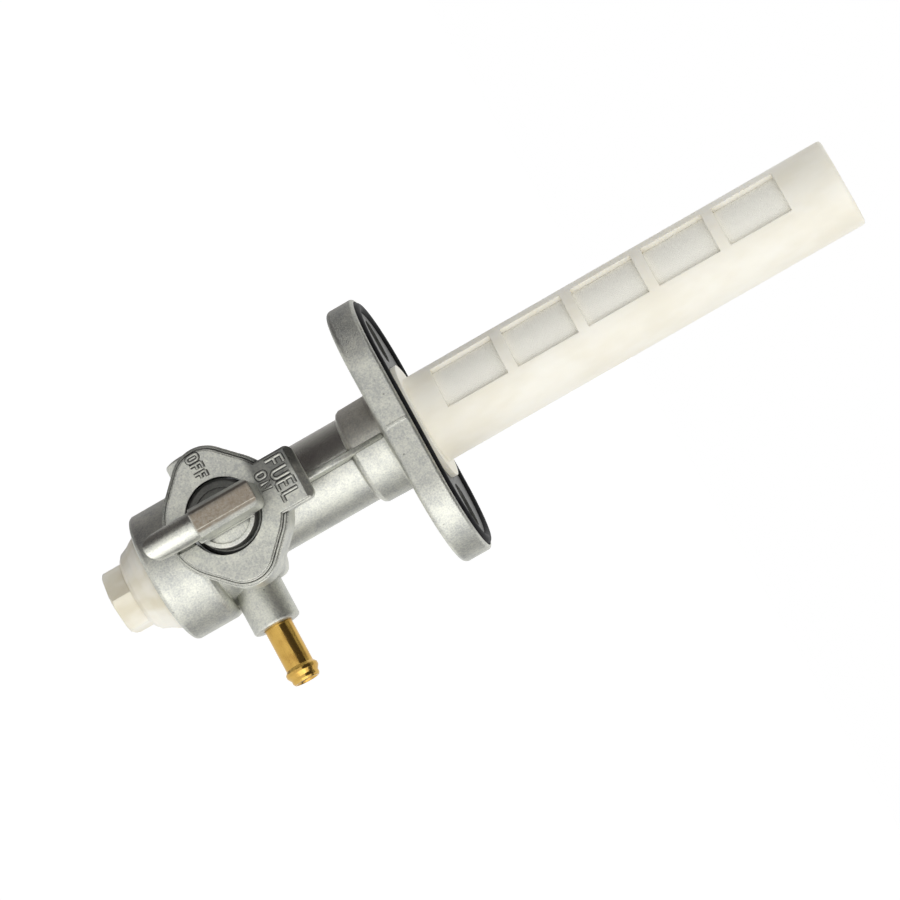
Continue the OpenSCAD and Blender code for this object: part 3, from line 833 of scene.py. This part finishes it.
def stage_cloth(name, near, far):
    """Cloth whose colour goes from near, ahead of the tap, to far, behind it."""
    finish = Finish(name)
    here = finish.position()
    weave = finish.noise(here, 0.01, detail=2.0)
    fade = finish.parts(here)[1].step(-0.12, 0.30)
    cloth = finish.mix((fade + (weave - 0.5) * 0.1).clamped(), (*near, 1.0), (*far, 1.0))
    return finish.surface(Base_Color=cloth, Roughness=0.95)


def reflected_cloth(name, corners, cloth, shades_tap):
    """A flat cloth that shows in gloss and not to the camera; it may shade the tap a little."""
    sheet = flat_mesh(name, corners, cloth)
    sheet.visible_camera = False
    sheet.visible_shadow = False
    sheet.visible_diffuse = shades_tap


def area_lamp(name, watts, size, place):
    """A soft square lamp at place that faces the tap."""
    light = bpy.data.lights.new(name, "AREA")
    light.energy = watts
    light.size = size
    lamp = bpy.data.objects.new(name, light)
    bpy.context.scene.collection.objects.link(lamp)
    aim = (Vector(LAMP_TARGET) - Vector(place)).to_track_quat("-Z", "Y")
    lamp.matrix_world = Matrix.Translation(place) @ aim.to_matrix().to_4x4()
    return lamp


def white_world(fill):
    """Even fill light; directly, in mirrors and through glass the world shows as plain white."""
    world = bpy.data.worlds.new("white_room")
    world.use_nodes = True
    nodes = Nodes(world.node_tree)
    seen = seen_ray(nodes)
    strength = seen * (1 - fill) + fill
    sky = nodes.add("ShaderNodeBackground", {}, {"Color": (1, 1, 1, 1), "Strength": strength})
    nodes.add("ShaderNodeOutputWorld", {}, {"Surface": sky})
    bpy.context.scene.world = world


# The fitted view: turned right of the lever, a little above, and rolled
CAMERA_AZIMUTH = math.radians(9.2)
CAMERA_ELEVATION = math.radians(5.7)
CAMERA_ROLL = math.radians(-60.25)
SENSOR = 36.0
IMAGE_SIDE = 900
FLANGE_PIXEL = (422.07, 422.66)


def place_camera(settings):
    """Stands the camera so that the middle of the flange falls on its pixel of the image."""
    sin_a, cos_a = math.sin(CAMERA_AZIMUTH), math.cos(CAMERA_AZIMUTH)
    sin_e, cos_e = math.sin(CAMERA_ELEVATION), math.cos(CAMERA_ELEVATION)
    back = Vector((sin_a * cos_e, -cos_a * cos_e, sin_e))
    level = Vector((0, 0, 1)).cross(back).normalized()
    rise = back.cross(level)
    right = level * math.cos(CAMERA_ROLL) - rise * math.sin(CAMERA_ROLL)
    up = level * math.sin(CAMERA_ROLL) + rise * math.cos(CAMERA_ROLL)
    metres_per_pixel = settings.camera_distance * SENSOR / settings.lens / IMAGE_SIDE
    aside = (FLANGE_PIXEL[0] - IMAGE_SIDE / 2) * metres_per_pixel
    above = (IMAGE_SIDE / 2 - FLANGE_PIXEL[1]) * metres_per_pixel
    place = back * settings.camera_distance - right * aside - up * above

    lens = bpy.data.cameras.new("photo_camera")
    lens.lens = settings.lens
    lens.sensor_fit = "HORIZONTAL"
    lens.sensor_width = SENSOR
    lens.clip_start = 0.01
    camera = bpy.data.objects.new("photo_camera", lens)
    bpy.context.scene.collection.objects.link(camera)
    turn = Matrix((right, up, back)).transposed().to_4x4()
    camera.matrix_world = Matrix.Translation(place) @ turn
    bpy.context.scene.camera = camera


# Operators

class TAP_OT_castings(bpy.types.Operator):
    """Give the body and the cover plate their cast skin, and the neck its two ribs"""

    bl_idname = "tap.castings"
    bl_label = "Finish Castings"

    def execute(self, context):
        settings = context.scene.tap_castings
        dress("body", cast_skin(
            settings, "cast_alloy_body", film=shoulder_painted_reflection, polish=neck_polish,
            grease=flange_shade_and_dark_end, corners=body_shade_amount,
        ))
        dress("cover_plate", cast_skin(settings, "cast_alloy_cover", grease=window_shade_and_tab_darkening))
        rib_skin = cast_skin(settings, "cast_alloy_rib")
        parting_rib("rib_front", -1, rib_skin)
        parting_rib("rib_back", 1, rib_skin)
        return {"FINISHED"}


class TAP_OT_lever(bpy.types.Operator):
    """Give the lever its worn cast skin, with painted shade round its hub and on its -X side"""

    bl_idname = "tap.lever"
    bl_label = "Finish Lever"

    def execute(self, context):
        settings = context.scene.tap_castings
        dress("lever", cast_skin(
            settings, "worn_lever", film=head_film, polish=tail_polish, grease=hub_painted_shade,
            crown=hub_crown,
        ))
        return {"FINISHED"}


class TAP_OT_mouldings(bpy.types.Operator):
    """Finish the filter, the strainer and the bowl in milky nylon and woven gauze"""

    bl_idname = "tap.mouldings"
    bl_label = "Finish Mouldings"

    def execute(self, context):
        settings = context.scene.tap_mouldings
        nylon = moulded_nylon(settings, "milky_nylon")
        dress("filter_frame", nylon)
        dress("strainer_frame", nylon)
        dress("bowl", moulded_nylon(settings, "yellowed_nylon", warm=0.9))
        for node, name, axis_x in (
            ("filter_mesh", "filter_gauze", 0.0),
            ("strainer_mesh", "strainer_gauze", BOWL_AXIS_X),
        ):
            dress(node, woven_gauze(settings, name, axis_x, tube_radius(node)))
        return {"FINISHED"}


class TAP_OT_brass(bpy.types.Operator):
    """Finish the outlet pipe and the standpipe in drawn brass"""

    bl_idname = "tap.brass"
    bl_label = "Finish Brass"

    def execute(self, context):
        settings = context.scene.tap_brass
        dress("outlet_pipe", drawn_brass(settings, "drawn_brass_pipe", (1, 0, 0)))
        dress("standpipe", drawn_brass(settings, "drawn_brass_standpipe", (0, 0, 1)))
        return {"FINISHED"}


class TAP_OT_seals(bpy.types.Operator):
    """Finish the seals, the packing and the spring washer"""

    bl_idname = "tap.seals"
    bl_label = "Finish Seals and Spring"

    def execute(self, context):
        settings = context.scene.tap_rubber
        rubber = black_rubber(settings, "black_rubber")
        for node in ("flange_seal", "lever_seal", "valve_packing", "bowl_seal"):
            dress(node, rubber)
        dress("wave_spring", spring_steel(settings, "spring_steel"))
        return {"FINISHED"}


class TAP_OT_lettering(bpy.types.Operator):
    """Raise the words OFF, ON and FUEL on the cover plate"""

    bl_idname = "tap.lettering"
    bl_label = "Add Lettering"

    def execute(self, context):
        settings = context.scene.tap_lettering
        skin = cast_skin(context.scene.tap_castings, "cast_alloy_letters")
        # Each word also gets a wider dark outline just over the plate: painted shade with some dirt.
        shade_and_grime = outline_shade_and_grime("letter_shade_and_grime")
        outline_stroke = settings.stroke + 2 * settings.shade_and_grime
        for name, *layout in WORDS:
            raised_word(name, layout, settings.stroke, settings.proud, skin)
            raised_word(name + "_grime", layout, outline_stroke, OUTLINE_PROUD, shade_and_grime)
        return {"FINISHED"}


class TAP_OT_stage(bpy.types.Operator):
    """Set up the floor, the cloths that the metal reflects, the lamps, the world and the camera"""

    bl_idname = "tap.stage"
    bl_label = "Set Up Stage"

    def execute(self, context):
        settings = context.scene.tap_stage
        floor_z = LOWEST_Z - settings.floor_drop
        last_corner = 360 - 360 / FLOOR_SIDES
        rim = arc((0, 0), (settings.floor_radius,) * 2, 0, last_corner, FLOOR_SIDES - 1)
        flat_mesh("floor", [(x, y, floor_z) for x, y in rim], pale_floor_paper(settings.fill))
        reflected_cloth(
            "dark_screen",
            [(-0.25, -0.60, floor_z), (-0.25, 0.50, floor_z), (-0.25, 0.50, 0.0),
             (-0.25, -0.60, 0.0)],
            stage_cloth("maroon_cloth", (0.018, 0.009, 0.012), (0.50, 0.49, 0.50)),
            shades_tap=True,
        )
        reflected_cloth(
            "dark_canopy",
            [(-0.5, -1.3, 0.30), (0.5, -1.3, 0.30), (0.5, 0.08, 0.30), (-0.5, 0.08, 0.30)],
            stage_cloth("grey_cloth", (0.09, 0.08, 0.08), (0.14, 0.13, 0.135)),
            shades_tap=False,
        )
        reflected_cloth(
            "grey_side",
            [(0.50, 0.0, floor_z), (0.50, 0.60, floor_z), (0.50, 0.60, 0.20),
             (0.50, 0.0, 0.20)],
            stage_cloth("pale_grey_cloth", (0.60, 0.60, 0.60), (0.40, 0.40, 0.40)),
            shades_tap=False,
        )
        area_lamp("key_lamp", settings.key_watts, KEY_SIZE, KEY_PLACE)
        area_lamp("side_lamp", settings.side_watts, SIDE_SIZE, SIDE_PLACE)
        white_world(settings.fill)
        place_camera(settings)
        context.scene.view_settings.view_transform = "Standard"
        return {"FINISHED"}


class TAP_PT_panel(bpy.types.Panel):
    """Lists the tap's steps and their settings"""

    bl_idname = "TAP_PT_panel"
    bl_label = "Fuel Tap"
    bl_space_type = "VIEW_3D"
    bl_region_type = "UI"
    bl_category = "Fuel Tap"

    def draw(self, context):
        for operator, group in STEPS:
            box = self.layout.box()
            settings = getattr(context.scene, group)
            for name in settings.bl_rna.properties.keys():
                if name not in ("rna_type", "name"):
                    box.prop(settings, name)
            box.operator(operator.bl_idname)


STEPS = (
    (TAP_OT_castings, "tap_castings"),
    (TAP_OT_lever, "tap_castings"),
    (TAP_OT_mouldings, "tap_mouldings"),
    (TAP_OT_brass, "tap_brass"),
    (TAP_OT_seals, "tap_rubber"),
    (TAP_OT_lettering, "tap_lettering"),
    (TAP_OT_stage, "tap_stage"),
)
GROUPS = {
    "tap_castings": CastingSettings,
    "tap_mouldings": MouldingSettings,
    "tap_brass": BrassSettings,
    "tap_rubber": RubberSettings,
    "tap_lettering": LetteringSettings,
    "tap_stage": StageSettings,
}


def register():
    for name, group in GROUPS.items():
        bpy.utils.register_class(group)
        setattr(bpy.types.Scene, name, PointerProperty(type=group))
    for operator, _ in STEPS:
        bpy.utils.register_class(operator)
    bpy.utils.register_class(TAP_PT_panel)


def unregister():
    bpy.utils.unregister_class(TAP_PT_panel)
    for operator, _ in reversed(STEPS):
        bpy.utils.unregister_class(operator)
    for name, group in GROUPS.items():
        delattr(bpy.types.Scene, name)
        bpy.utils.unregister_class(group)


def main():
    """Runs every step in order."""
    register()
    for operator, _ in STEPS:
        section, action = operator.bl_idname.split(".")
        result = getattr(getattr(bpy.ops, section), action)()
        if result != {"FINISHED"}:
            raise RuntimeError(f"{operator.bl_label} did not finish")


if __name__ == "__main__":
    main()
